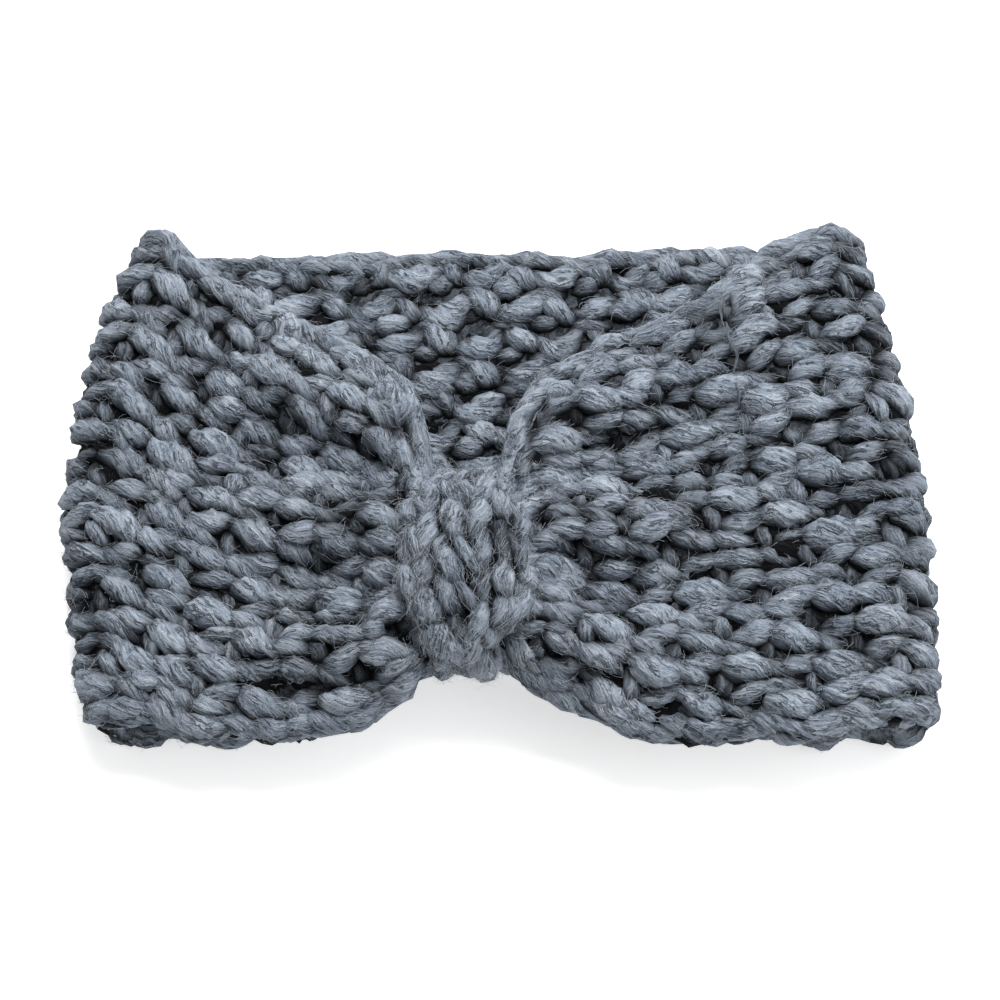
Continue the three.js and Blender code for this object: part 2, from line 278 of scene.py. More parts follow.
# %% The two faces of the fabric
SKIN_TURNS, SKIN_HEIGHTS = 481, 91
turns = 1 - np.linspace(0, 1, SKIN_TURNS)
heights = np.linspace(0, 1, SKIN_HEIGHTS)
outer_grid = np.array([skin_column(t, heights, 1) for t in turns])
inner_grid = np.array([skin_column(t, heights, -1) for t in turns])
outer_skin = skin_mesh("outer_skin", outer_grid, flip=False)
inner_skin = skin_mesh("inner_skin", inner_grid, flip=True)

# %% [markdown]
# The two long edges of the loop are finished with a chain of slanted stitches that lies over
# the edge like a cord. Their skins are half rounds, from the outer face over the rim to the
# inner face.
# %% The rims, from the outer face round to the inner face
RIM_STEPS, RIM_INSET, RIM_FACE, RIM_SWELL = 13, 0.03, 0.93, 0.5
LOWER_REACH, UPPER_REACH = 2.6, 5.0


def rim_grid(edge):
    near = np.array([RIM_INSET if edge == 0 else 1 - RIM_INSET])
    way_up, reach = (-1.0, LOWER_REACH) if edge == 0 else (1.0, UPPER_REACH)
    grid = []
    for t in turns:
        outer = skin_column(t, near, 1)[0]
        inner = skin_column(t, near, -1)[0]
        middle, half = (outer + inner) / 2, (outer - inner) / 2
        bulge = reach + RIM_SWELL * math.cos(2 * math.pi * STITCHES * t)
        angles = np.linspace(0, math.pi, RIM_STEPS)
        ring = [middle + half * math.cos(a) * RIM_FACE
                + np.array((0, way_up * bulge * math.sin(a), 0)) for a in angles]
        grid.append(ring)
    return np.array(grid)


lower_rim = skin_mesh("lower_rim", rim_grid(0), flip=True)
upper_rim = skin_mesh("upper_rim", rim_grid(1), flip=False)

# %% [markdown]
# The wrap is a strap of three crocheted braids round the neck. Its skin follows the rounded
# outline of the neck, raised by the strap's thickness, and narrows where it turns.
# %% The wrap's skin
WRAP_TURNS, WRAP_ACROSS, BRAID_GROOVE, STRAP_EDGE = 121, 37, 1.6, 0.08


def signed_power(value, power):
    return math.copysign(abs(value) ** power, value)


def wrap_ring(angle, shares, raised=1.0):
    """Points across the strap at an angle round the neck, raised by a share of its thickness."""
    up, forward = (signed_power(w, 2 / NECK_SQUARE) for w in (math.sin(angle), math.cos(angle)))
    normal = np.array((0, signed_power(up, NECK_SQUARE - 1) / (NECK_HEIGHT / 2),
                       signed_power(forward, NECK_SQUARE - 1) / (NECK_DEPTH / 2)))
    normal /= np.linalg.norm(normal)
    lean = math.cos(angle)
    half_strap = wrap_half_width(lean, WRAP_FRONT if lean > 0 else WRAP_BACK)
    ridge = np.abs(np.sin(math.pi * BRAIDS * (shares + 1) / 2))
    body = (WRAP_THICKNESS - BRAID_GROOVE * (1 - ridge)) * fullness(shares, WRAP_SQUARE) * raised
    base = np.array((KNOT_ALONG, KNOT_UP + up * NECK_HEIGHT / 2,
                     NECK_LEVEL + forward * NECK_DEPTH / 2))
    across = np.array((1.0, 0, 0))
    points = base + shares[:, None] * half_strap * across
    points = points + normal * (CLEARANCE + body)[:, None]
    return points + np.array(FRAME_SHIFT)


shares = -np.cos(np.linspace(STRAP_EDGE, math.pi - STRAP_EDGE, WRAP_ACROSS))
wrap_angles = math.pi - 2 * math.pi * np.linspace(0, 1, WRAP_TURNS)
wrap_grid = np.array([wrap_ring(a, shares) for a in wrap_angles])
wrap_skin = skin_mesh("wrap_skin", wrap_grid, flip=False)

# %% [markdown]
# ## The camera, the floor and the light
# The photograph looks down steeply on the lying headband. The camera stands where it stood.
# The photograph is cut out on white, so the floor is pale and glows a little, and the light is
# plain and soft: a wide lamp from above and behind, a weaker one from the right, and a bright
# surrounding.
# %% The camera at the photograph's angle
LOOK_AT = Vector((0.663, -3.574, 12.4)) * MM
CAMERA_DISTANCE, CAMERA_ELEVATION, CAMERA_LENS = 0.715, math.radians(68), 92.66
camera = bpy.data.objects.new("camera", bpy.data.cameras.new("camera"))
toward = Vector((0, -math.cos(CAMERA_ELEVATION), math.sin(CAMERA_ELEVATION)))
camera.location = LOOK_AT + toward * CAMERA_DISTANCE
camera.rotation_euler = (-toward).to_track_quat("-Z", "Y").to_euler()
camera.data.lens, camera.data.sensor_width = CAMERA_LENS, 36
camera.data.clip_start, camera.data.clip_end = 0.01, 20
bpy.context.scene.collection.objects.link(camera)
bpy.context.scene.camera = camera
print("camera at", [round(v, 3) for v in camera.location])


# %% A material with plain settings, and the floor
def paint(name, finish):
    """A new material whose shader has these settings."""
    material = bpy.data.materials.new(name)
    material.use_nodes = True
    for socket, value in finish.items():
        material.node_tree.nodes["Principled BSDF"].inputs[socket].default_value = value
    return material


FLOOR_SIZE = 3.0
FLOOR_FINISH = {"Base Color": (0.9, 0.9, 0.9, 1), "Roughness": 0.9,
                "Emission Color": (1, 1, 1, 1), "Emission Strength": 0.56}
corner = FLOOR_SIZE / 2
floor_mesh = bpy.data.meshes.new("floor")
floor_mesh.from_pydata([(-corner, -corner, 0), (corner, -corner, 0), (corner, corner, 0),
                        (-corner, corner, 0)], [], [(0, 1, 2, 3)])
floor_mesh.materials.append(paint("floor_paint", FLOOR_FINISH))
floor = bpy.data.objects.new("floor", floor_mesh)
bpy.context.scene.collection.objects.link(floor)

# %% The lamps and the surrounding
LAMPS = [
    # name, from where (m), size (m), power (W)
    ("key", (0.16, 0.7, 1.1), 0.9, 26.0),
    ("fill", (0.95, 0.0, 0.8), 1.2, 7.0),
]
SURROUNDING = 0.33
for name, spot, size, power in LAMPS:
    lamp = bpy.data.objects.new(name, bpy.data.lights.new(name, "AREA"))
    lamp.data.size, lamp.data.energy = size, power
    lamp.location = spot
    lamp.rotation_euler = Vector(spot).to_track_quat("Z", "Y").to_euler()
    bpy.context.scene.collection.objects.link(lamp)
    print(name, "lamp,", power, "W")
world = bpy.data.worlds.new("surrounding")
world.use_nodes = True
world.node_tree.nodes["Background"].inputs["Color"].default_value = (1, 1, 1, 1)
world.node_tree.nodes["Background"].inputs["Strength"].default_value = SURROUNDING
bpy.context.scene.world = world
bpy.context.scene.view_settings.view_transform = "Standard"

# %% [markdown]
# ## Building with nodes
# Both materials and Geometry Nodes are trees of nodes. A small helper that makes a node, sets
# it and joins its inputs keeps the trees short enough to read.
# %% Helpers: a node, its output, and sums of numbers and vectors
def put(tree, kind, inputs=None, **settings):
    """Adds a node. Inputs go by number or identifier: a value, or another node's output."""
    node = tree.nodes.new(kind)
    for name, value in settings.items():
        setattr(node, name, value)
    for key, value in (inputs or {}).items():
        socket = node.inputs[key] if isinstance(key, int) else next(
            s for s in node.inputs if s.identifier == key)
        if isinstance(value, bpy.types.NodeSocket):
            tree.links.new(value, socket)
        else:
            socket.default_value = value
    return node


def result(node):
    """The output that the node's settings leave in use."""
    return next(socket for socket in node.outputs if socket.enabled)


def sums(tree):
    """Two short names for the tree's arithmetic: one for numbers, one for vectors."""
    def number(operation, *values):
        inputs = dict(enumerate(values))
        return put(tree, "ShaderNodeMath", inputs, operation=operation).outputs[0]

    def vector(operation, *values, scale=None):
        inputs = dict(enumerate(values))
        if scale is not None:
            inputs["Scale"] = scale
        node = put(tree, "ShaderNodeVectorMath", inputs, operation=operation)
        return node.outputs["Value" if operation in ("DOT_PRODUCT", "LENGTH") else "Vector"]

    return number, vector


# %% [markdown]
# ## The yarn's finish
# The yarn is a thick, soft single strand of blue-grey wool blend. Its fibres lie side by side
# with a slight twist, a few are almost white, and the surface is hairy, so it is matt. The
# fibres follow the strand, so the pattern reads an attribute named fibre: two coordinates go
# round the strand and one goes along it. Noises that are stretched along the strand give locks
# and threads of colour, and dark lines where locks part, which are painted shade in the narrow
# gaps between locks; they raise the bump too. The attribute sunk says how deep a place lies,
# and deep places are painted dark: painted shade for the crevices between strands.
# %% The colours, how fine each pattern is, and how much each counts
DARK_FIBRE, MID_FIBRE, PALE_FIBRE = (0.06, 0.079, 0.107), (0.21, 0.245, 0.295), (0.42, 0.465, 0.52)
COLOUR_STOPS = (0.06, 0.42, 0.9)
LOCK_SCALE, THREAD_SCALE, PART_SCALE, GLINT_SCALE = 2.2, 6.5, 2.6, 8.0
FRIZZ_SCALE, PATCH_SCALE, CLOUD_SCALE = 2600.0, 230.0, 60.0
LOCK_TONE, THREAD_TONE, FRIZZ_TONE, CLOUD_TONE, LOT_TONE = 0.36, 0.42, 0.12, 0.35, 0.12
THREAD_RELIEF, FRIZZ_RELIEF = 0.45, 0.12
# PARTED_SHADE is the painted shade in the gaps between locks, as a share of the colour.
GLINT_SHARE, PARTED_SHADE = 0.55, 0.34
# Painted shade: from a sunk of LIT_DEPTH to DARK_DEPTH mm the base colour falls to DARKEST.
LIT_DEPTH, DARK_DEPTH, DARKEST = -1.2, 3.0, 0.008
YARN_FINISH = {"Roughness": 0.85, "Specular IOR Level": 0.06, "Sheen Weight": 0.05,
               "Sheen Roughness": 0.5, "Sheen Tint": (0.8, 0.88, 1.0, 1)}


# %% The yarn material
def yarn_material(name, brightness, fibre_relief):
    material = paint(name, YARN_FINISH)
    tree = material.node_tree
    number, vector = sums(tree)
    shader = tree.nodes["Principled BSDF"]
    fibre = put(tree, "ShaderNodeAttribute", attribute_name="fibre").outputs["Vector"]
    lot = put(tree, "ShaderNodeAttribute", attribute_name="lot").outputs["Fac"]
    sunk = put(tree, "ShaderNodeAttribute", attribute_name="sunk").outputs["Fac"]
    where = put(tree, "ShaderNodeTexCoord").outputs["Object"]

    def noise(place, scale, detail, rough=0.6):
        return put(tree, "ShaderNodeTexNoise", {
            "Vector": place, "Scale": scale, "Detail": detail, "Roughness": rough}).outputs["Fac"]

    def spread(value, low, high, new_low=0.0, new_high=1.0):
        return put(tree, "ShaderNodeMapRange", {
            0: value, 1: low, 2: high, 3: new_low, 4: new_high}).outputs[0]

    def astray(scale, reach):
        push = put(tree, "ShaderNodeTexNoise", {"Vector": where, "Scale": scale, "Detail": 1.0})
        centred = vector("SUBTRACT", push.outputs["Color"], (0.5, 0.5, 0.5))
        return vector("SCALE", centred, scale=reach)

    strayed = vector("ADD", vector("ADD", fibre, astray(300.0, 0.5)), astray(1500.0, 0.14))
    locks = spread(noise(strayed, LOCK_SCALE, 1.0), 0.32, 0.68)
    threads = spread(noise(strayed, THREAD_SCALE, 2.0, 0.7), 0.32, 0.68)
    frizz = spread(noise(where, FRIZZ_SCALE, 2.0, 0.7), 0.3, 0.7)
    aside = vector("ADD", strayed, (7.0, 0.0, 0.0))
    glints = spread(noise(aside, GLINT_SCALE, 1.0), 0.62, 0.74)
    # parted marks the dark lines where locks part; the base colour is darkened there as painted
    # shade.
    near_half = number("ABSOLUTE", number("SUBTRACT", noise(strayed, PART_SCALE, 0.8), 0.46))
    parted = number("MULTIPLY", spread(near_half, 0.012, 0.07, 1.0, 0.0),
                    spread(noise(where, PATCH_SCALE, 1.0), 0.44, 0.56))

    tone = number("ADD", number("MULTIPLY", locks, LOCK_TONE),
                  number("MULTIPLY", threads, THREAD_TONE))
    tone = number("ADD", tone, number("MULTIPLY", frizz, FRIZZ_TONE))
    clouds = number("SUBTRACT", noise(where, CLOUD_SCALE, 2.0), 0.5)
    tone = number("ADD", tone, number("MULTIPLY", clouds, CLOUD_TONE))
    tone = number("ADD", tone, number("MULTIPLY", number("SUBTRACT", lot, 0.5), LOT_TONE))
    ramp = put(tree, "ShaderNodeValToRGB", {0: tone})
    stops = ramp.color_ramp.elements
    stops[0].position, stops[0].color = COLOUR_STOPS[0], (*DARK_FIBRE, 1)
    stops[1].position, stops[1].color = COLOUR_STOPS[2], (*PALE_FIBRE, 1)
    stops.new(COLOUR_STOPS[1]).color = (*MID_FIBRE, 1)
    colour = put(tree, "ShaderNodeMix", {
        "Factor_Float": number("MULTIPLY", glints, GLINT_SHARE), "A_Color": ramp.outputs["Color"],
        "B_Color": (*PALE_FIBRE, 1)}, data_type="RGBA")

    # Painted shade: the base colour darkens where the yarn lies deep (sunk) and in the gaps between
    # locks (parted).
    depth = put(tree, "ShaderNodeMapRange", {
        0: sunk, 1: LIT_DEPTH, 2: DARK_DEPTH, 3: brightness, 4: DARKEST * brightness},
        interpolation_type="SMOOTHSTEP").outputs[0]
    shade = number("MULTIPLY", depth, spread(parted, 0.0, 1.0, 1.0, PARTED_SHADE))
    deep = put(tree, "ShaderNodeMix", {"Factor_Float": 1.0, "A_Color": result(colour),
                                       "B_Color": shade}, data_type="RGBA", blend_type="MULTIPLY")
    tree.links.new(result(deep), shader.inputs["Base Color"])
    relief = number("ADD", locks, number("MULTIPLY", threads, THREAD_RELIEF))
    relief = number("ADD", relief, number("MULTIPLY", frizz, FRIZZ_RELIEF))
    bump = put(tree, "ShaderNodeBump", {"Strength": 1.0, "Distance": fibre_relief * MM,
                                        "Height": number("SUBTRACT", relief, parted)})
    tree.links.new(bump.outputs["Normal"], shader.inputs["Normal"])
    print(name, "has", len(tree.nodes), "nodes")
    return material


yarn = yarn_material("yarn", brightness=1.0, fibre_relief=0.45)

# %% [markdown]
# ## A stitch
# Each stitch is a small figure of a few strands, drawn flat: x runs along the row, y up the
# fabric, z out of it. In the photograph a stitch of the outer face is a sideways arrow that
# points right: an upper loop of two strands and a lower leg of two that meet at a point, with
# an upright post at the open end and a dark hole beside it. A strand is a line of points that
# starts deep in the fabric, comes up and dives again, and it is thickest in the middle, because
# nothing squeezes it there.
# %% A strand as a line of points with a thickness
STRAND_POINTS = 9
END_SHARE, LINE_ARCH, BODY_ARCH = 0.22, 0.55, 0.85


def strand(start, end, thick, high, low=-6.0, bow=0.0, peak=0.5):
    """Points and thickness of one strand. peak is where along it the strand stands highest."""
    s = np.linspace(0, 1, STRAND_POINTS)
    arch = np.sin(math.pi * s ** (math.log(0.5) / math.log(peak)))
    xy = np.array(start) + (np.array(end) - np.array(start)) * s[:, None]
    xy[:, 1] += bow * np.sin(math.pi * s)
    z = mix(low, high, arch ** LINE_ARCH)
    return np.column_stack([xy, z]), thick * mix(END_SHARE, 1, arch ** BODY_ARCH)


def stitch_pattern(name, strands):
    """An object of bare edges, one line for each strand, that the nodes copy and sweep."""
    points = np.concatenate([p for p, _ in strands]) * MM
    radii = (np.concatenate([r for _, r in strands]) * MM).astype(np.float32)
    edges = [(k * STRAND_POINTS + i, k * STRAND_POINTS + i + 1)
             for k in range(len(strands)) for i in range(STRAND_POINTS - 1)]
    mesh = bpy.data.meshes.new(name)
    mesh.from_pydata(points.tolist(), edges, [])
    mesh.attributes.new("thick", "FLOAT", "POINT").data.foreach_set("value", radii)
    pattern = bpy.data.objects.new(name, mesh)
    bpy.context.scene.collection.objects.link(pattern)
    print(name, "has", len(strands), "strands")
    return pattern


# %% The stitches of the outer and the inner face
arrow_stitch = stitch_pattern("arrow_stitch", [
    strand((0.4, 3.9), (17.0, 0.8), 4.1, -2.6, bow=0.6, peak=0.42),
    strand((10.0, 3.8), (24.4, -1.6), 3.0, -2.8, bow=0.4, peak=0.45),
    strand((1.4, -5.8), (16.0, -1.8), 3.3, -2.6, bow=-0.4),
    strand((10.4, -4.2), (23.6, -2.8), 2.7, -3.0, bow=-0.3, peak=0.45),
    strand((-0.2, 3.4), (2.4, -6.4), 2.6, -3.4, low=-5.8),
])
inside_stitch = stitch_pattern("inside_stitch", [
    strand((-1.6, 5.2), (15.2, 2.4), 4.2, -3.0, bow=-6.0, peak=0.42),
    strand((11.6, -3.0), (22.8, 3.4), 4.1, -3.2, bow=0.6),
    strand((15.6, -1.0), (26.4, -4.4), 3.6, -3.4),
    strand((0.0, -5.2), (16.6, -5.4), 3.4, -3.9, low=-5.8),
])

# %% The stitches of the edges, the braids and the loose seam thread
edge_stitch = stitch_pattern("edge_stitch", [
    strand((-3.5, 5.2), (26.5, 7.2), 3.7, -1.7, low=-3.2),
    strand((6.0, 0.6), (22.5, 5.6), 3.3, -1.9, low=-3.2),
    strand((5.0, 11.4), (21.5, 6.4), 3.3, -1.9, low=-3.2),
    strand((16.0, 9.4), (34.0, 8.6), 3.0, -2.3, low=-3.4),
    strand((16.0, 2.4), (34.0, 3.4), 3.0, -2.3, low=-3.4),
])
braid_stitch = stitch_pattern("braid_stitch", [
    strand((-6.8, 3.9), (8.8, 1.9), 3.3, -1.9, low=-4.6, bow=0.9, peak=0.45),
    strand((-6.0, -4.3), (9.2, -1.0), 3.2, -1.9, low=-4.6, bow=-0.6),
    strand((-3.4, -2.8), (7.4, 3.6), 2.2, -1.3, low=-4.2),
])
seam_stitch = stitch_pattern("seam_stitch", [
    strand((-0.6, -5.8), (0.6, 5.8), 0.4, 1.4, low=-1.2),
])

# %% [markdown]
# ## Crochet as a tree of nodes
# One tree makes every kind of crochet here. It sets out a grid of places and copies a stitch to
# each, lays the flat piece on a skin by its UV map, sweeps a round section along each strand
# and shapes it. The sizes and the stitch are its inputs.
# %% Helpers: a tree with named inputs, a run of it on an object, and chance
def open_tree(name, sizes):
    """A tree with a geometry input and output and these named inputs, given as name: type."""
    tree = bpy.data.node_groups.new(name, "GeometryNodeTree")
    sockets = tree.interface
    sockets.new_socket("Geometry", in_out="INPUT", socket_type="NodeSocketGeometry")
    for size, kind in sizes.items():
        sockets.new_socket(size, in_out="INPUT", socket_type="NodeSocket" + kind)
    sockets.new_socket("Geometry", in_out="OUTPUT", socket_type="NodeSocketGeometry")
    return tree, put(tree, "NodeGroupInput").outputs


def grow(name, base, tree, values):
    """Runs the tree on a base object and returns the result as a plain mesh object."""
    modifier = base.modifiers.new(name, "NODES")
    modifier.node_group = tree
    known = {s.name: s.identifier for s in tree.interface.items_tree if s.in_out == "INPUT"}
    for size, value in values.items():
        modifier[known[size]] = value
    bpy.context.view_layer.update()
    graph = bpy.context.evaluated_depsgraph_get()
    mesh = bpy.data.meshes.new_from_object(base.evaluated_get(graph), depsgraph=graph)
    base.modifiers.remove(modifier)
    mesh.name = name
    piece = bpy.data.objects.new(name, mesh)
    bpy.context.scene.collection.objects.link(piece)
    print(f"{name}: {sum(len(p.vertices) - 2 for p in mesh.polygons)} triangles")
    return piece


def chances(tree, seed):
    """A short name for the tree's random values. more tells one value from the next."""
    number, _ = sums(tree)

    def chance(low, high, more):
        kind, ends = "FLOAT", ("Min_001", "Max_001")
        if isinstance(low, tuple):
            kind, ends = "FLOAT_VECTOR", ("Min", "Max")
        return result(put(tree, "FunctionNodeRandomValue", {
            ends[0]: low, ends[1]: high, "Seed": number("ADD", seed, float(more))}, data_type=kind))

    return chance


def read(tree, name, kind="FLOAT"):
    """An attribute of the geometry, by its name."""
    return put(tree, "GeometryNodeInputNamedAttribute", {0: name}, data_type=kind).outputs[0]


def store(tree, geometry, name, value, kind="FLOAT", domain="POINT"):
    """The geometry with a value kept on it as an attribute."""
    node = put(tree, "GeometryNodeStoreNamedAttribute", {
        "Geometry": geometry, "Name": name, "Value": value}, data_type=kind, domain=domain)
    return node.outputs[0]


def keep(tree, geometry, values, domain="POINT"):
    """Notes values as they are here, for use after the geometry has changed."""
    node = put(tree, "GeometryNodeCaptureAttribute", domain=domain)
    for name, (kind, _) in values.items():
        node.capture_items.new(kind, name)
    tree.links.new(geometry, node.inputs[0])
    for socket, (_, value) in zip(node.inputs[1:len(values) + 1], values.values()):
        tree.links.new(value, socket)
    return node.outputs[:len(values) + 1]


# %% The crochet tree and its inputs
crochet, given = open_tree("crochet", {
    "Pattern": "Object", "First stitch": "Float", "Stitches": "Int", "Rows": "Int",
    "Stitch length": "Float", "Row height": "Float", "Row shift": "Float",
    "Margin": "Float", "Round": "Float", "Width": "Float", "Flatness": "Float",
    "Looseness": "Float", "Unevenness": "Float", "Ripple": "Float", "Twist": "Float",
    "Shading": "Float", "Sides": "Int", "Seed": "Int", "Material": "Material"})
number, vector = sums(crochet)
chance = chances(crochet, given["Seed"])

# %% [markdown]
# Crocheters work row after row, and in this fabric each row is shifted against the last by
# half a stitch. No two stitches are alike, so each copy is turned and sized a little by chance.
# %% Step 1: a grid of places, and a stitch on each
index = put(crochet, "GeometryNodeInputIndex").outputs[0]
column = number("FLOORED_MODULO", index, given["Stitches"])
row = number("FLOOR", number("DIVIDE", number("ADD", index, 0.5), given["Stitches"]))
shift = number("MULTIPLY", number("FLOORED_MODULO", row, 2.0), given["Row shift"])
along = number("ADD", number("ADD", column, given["First stitch"]), shift)
up = number("MULTIPLY", number("ADD", row, 0.5), given["Row height"])
place = put(crochet, "ShaderNodeCombineXYZ", {
    0: number("MULTIPLY", along, given["Stitch length"]),
    1: number("ADD", up, given["Margin"])}).outputs[0]
points = put(crochet, "GeometryNodePoints", {
    0: number("MULTIPLY", given["Stitches"], given["Rows"]), 1: place})
pattern = put(crochet, "GeometryNodeObjectInfo", {0: given["Pattern"]}).outputs["Geometry"]
turned = put(crochet, "FunctionNodeEulerToRotation", {
    0: chance((0, 0, -0.08), (0, 0, 0.08), 1)}).outputs[0]
placed = put(crochet, "GeometryNodeInstanceOnPoints", {
    "Points": points.outputs[0], "Instance": pattern, "Rotation": turned,
    "Scale": chance((0.96, 0.92, 0.92), (1.05, 1.08, 1.05), 2)})
lots = store(crochet, placed.outputs[0], "lot", chance(0.0, 1.0, 3), domain="INSTANCE")
real = put(crochet, "GeometryNodeRealizeInstances", {0: lots}).outputs[0]
lines = put(crochet, "GeometryNodeMeshToCurve", {0: real}).outputs[0]
print("crochet tree after step 1:", len(crochet.nodes), "nodes")

# %% [markdown]
# The flat piece is then laid on the form like cloth on a dummy. A noise pulls the strands a
# little out of line first. Each point finds its place on the skin by the UV map, and its depth
# in the fabric is measured along the skin's normal. Near an edge the fabric is thin, so the
# strands can't dive as deep there.
# %% Step 2: looseness, and the way onto the skin
DRIFT_SCALE, SEED_STEP, UV_MARGIN = 11 * MM, 3.7, 0.004
THIN_EDGE, EDGE_DEPTH, FULL_DEPTH = 0.09, -1.8 * MM, -6.5 * MM
flat = put(crochet, "GeometryNodeInputPosition").outputs[0]
offset = put(crochet, "ShaderNodeCombineXYZ", {
    0: number("MULTIPLY", given["Seed"], SEED_STEP)}).outputs[0]
wander = put(crochet, "ShaderNodeTexNoise", {
    0: vector("ADD", vector("SCALE", flat, scale=1 / DRIFT_SCALE), offset), 2: 1.0, 3: 1.0})
drift = vector("SCALE", vector("SUBTRACT", wander.outputs["Color"], (0.5, 0.5, 0.5)),
               scale=given["Looseness"])
loose = put(crochet, "ShaderNodeSeparateXYZ", {0: vector("ADD", flat, drift)}).outputs
u = number("FRACT", number("DIVIDE", loose[0], given["Round"]))
v = put(crochet, "ShaderNodeClamp", {0: number("DIVIDE", loose[1], given["Width"]),
                                     1: UV_MARGIN, 2: 1 - UV_MARGIN}).outputs[0]
spot = put(crochet, "ShaderNodeCombineXYZ", {0: u, 1: v}).outputs[0]
swatch = read(crochet, "swatch", "FLOAT_VECTOR")


def on_skin(kind):
    """A value of the skin at the strand's place on it."""
    value = put(crochet, kind).outputs[0]
    return put(crochet, "GeometryNodeSampleUVSurface", {
        0: given["Geometry"], 1: value, 2: swatch, 3: spot}, data_type="FLOAT_VECTOR").outputs[0]


surface = on_skin("GeometryNodeInputPosition")
out = vector("NORMALIZE", on_skin("GeometryNodeInputNormal"))
print("crochet tree after step 2:", len(crochet.nodes), "nodes")

# %% Step 3: every strand stands a little higher or lower, and is laid on the skin
lines, own = keep(crochet, lines, {"own": ("VECTOR", chance((-1, -1, -1), (1, 1, 1), 4))}, "CURVE")
luck = put(crochet, "ShaderNodeSeparateXYZ", {0: own}).outputs
height = number("ADD", loose[2], number("MULTIPLY", luck[0], given["Unevenness"]))
to_edge = number("MINIMUM", v, number("SUBTRACT", 1.0, v))
deepest = put(crochet, "ShaderNodeMapRange", {
    0: to_edge, 1: 0.0, 2: THIN_EDGE, 3: EDGE_DEPTH, 4: FULL_DEPTH}).outputs[0]
lines, surface, out, level = keep(crochet, lines, {
    "surface": ("VECTOR", surface), "out": ("VECTOR", out),
    "level": ("FLOAT", number("MAXIMUM", height, deepest))})
laid = put(crochet, "GeometryNodeSetPosition", {
    "Geometry": lines,
    "Position": vector("ADD", surface, vector("SCALE", out, scale=level))}).outputs[0]
print("crochet tree after step 3:", len(crochet.nodes), "nodes")

# %% [markdown]
# Yarn has a round section that goes flat where the fabric presses it. The sweep gives the
# round body, and the points are then pressed toward the skin. Coordinates that go round and
# along the strand, turned as they go, are the fibres. The same coordinates drive a ripple that
# swells the body in locks, so it looks spun and not cast.
# %% Step 4: a round body along each strand
OWN_THICKNESS, LOT_TURN, FIBRE_RUN, LOT_RUN = 0.16, 6.28, 42.0, 37.0
lot = read(crochet, "lot")
fat = number("MULTIPLY", read(crochet, "thick"),
             number("ADD", 1.0, number("MULTIPLY", luck[1], OWN_THICKNESS)))
lines, middle, forward, length, fat = keep(crochet, laid, {
    "middle": ("VECTOR", put(crochet, "GeometryNodeInputPosition").outputs[0]),
    "forward": ("VECTOR", put(crochet, "GeometryNodeInputTangent").outputs[0]),
    "length": ("FLOAT", put(crochet, "GeometryNodeSplineParameter").outputs["Length"]),
    "fat": ("FLOAT", fat)})
ring = put(crochet, "GeometryNodeCurvePrimitiveCircle", {
    "Resolution": given["Sides"], "Radius": 1.0})
swept = put(crochet, "GeometryNodeCurveToMesh", {
    "Curve": lines, "Profile Curve": ring.outputs[0], "Scale": fat, "Fill Caps": True}).outputs[0]

# %% Step 5: pressed flat, rippled along the fibres and kept off the floor
RIPPLE_SCALE, RIPPLE_DETAIL, OFF_THE_FLOOR = 1.6, 1.5, (-10.0, -10.0, 0.0002)
here = put(crochet, "GeometryNodeInputPosition").outputs[0]
spoke = vector("SUBTRACT", here, middle)
rise = vector("DOT_PRODUCT", spoke, out)
aside = vector("DOT_PRODUCT", spoke, vector("CROSS_PRODUCT", forward, out))
pressed = vector("SCALE", out, scale=number(
    "MULTIPLY", rise, number("SUBTRACT", given["Flatness"], 1.0)))
around = vector("NORMALIZE", put(crochet, "ShaderNodeCombineXYZ", {0: aside, 1: rise}).outputs[0])
angle = number("ADD", number("MULTIPLY", length, given["Twist"]), number("MULTIPLY", lot, LOT_TURN))
twisted = put(crochet, "ShaderNodeVectorRotate", {"Vector": around, "Angle": angle},
              rotation_type="Z_AXIS").outputs[0]
run = number("ADD", number("MULTIPLY", length, FIBRE_RUN), number("MULTIPLY", lot, LOT_RUN))
fibre = vector("ADD", twisted, put(crochet, "ShaderNodeCombineXYZ", {2: run}).outputs[0])
bulk = put(crochet, "ShaderNodeTexNoise", {0: fibre, 2: RIPPLE_SCALE, 3: RIPPLE_DETAIL})
swell = number("MULTIPLY", number("SUBTRACT", bulk.outputs["Fac"], 0.5), given["Ripple"])
shaped = vector("ADD", vector("ADD", here, pressed), vector("SCALE", spoke, scale=swell))
moved = put(crochet, "GeometryNodeSetPosition", {
    "Geometry": swept, "Position": vector("MAXIMUM", shaped, OFF_THE_FLOOR)}).outputs[0]
print("crochet tree after step 5:", len(crochet.nodes), "nodes")

# %% Step 6: what the material and the fuzz read, and the end of the tree
# sunk is how deep a point lies below the skin, scaled by Shading; the yarn material paints shade by
# it.
sunk = number("MULTIPLY", number("MULTIPLY", number("ADD", level, rise), -1 / MM), given["Shading"])
marked = store(crochet, moved, "fibre", fibre, "FLOAT_VECTOR")
marked = store(crochet, marked, "sunk", sunk)
marked = store(crochet, marked, "grain", forward, "FLOAT_VECTOR")


def close_tree(tree, geometry, material):
    """Makes the copies real, sets the material and joins the result to the tree's output."""
    solid = put(tree, "GeometryNodeRealizeInstances", {0: geometry}).outputs[0]
    done = put(tree, "GeometryNodeSetMaterial", {"Geometry": solid, "Material": material})
    put(tree, "NodeGroupOutput", {0: done.outputs[0]})
    print(tree.name, "tree:", len(tree.nodes), "nodes")


even = put(crochet, "GeometryNodeSetShadeSmooth", {"Geometry": marked}).outputs[0]
close_tree(crochet, even, given["Material"])

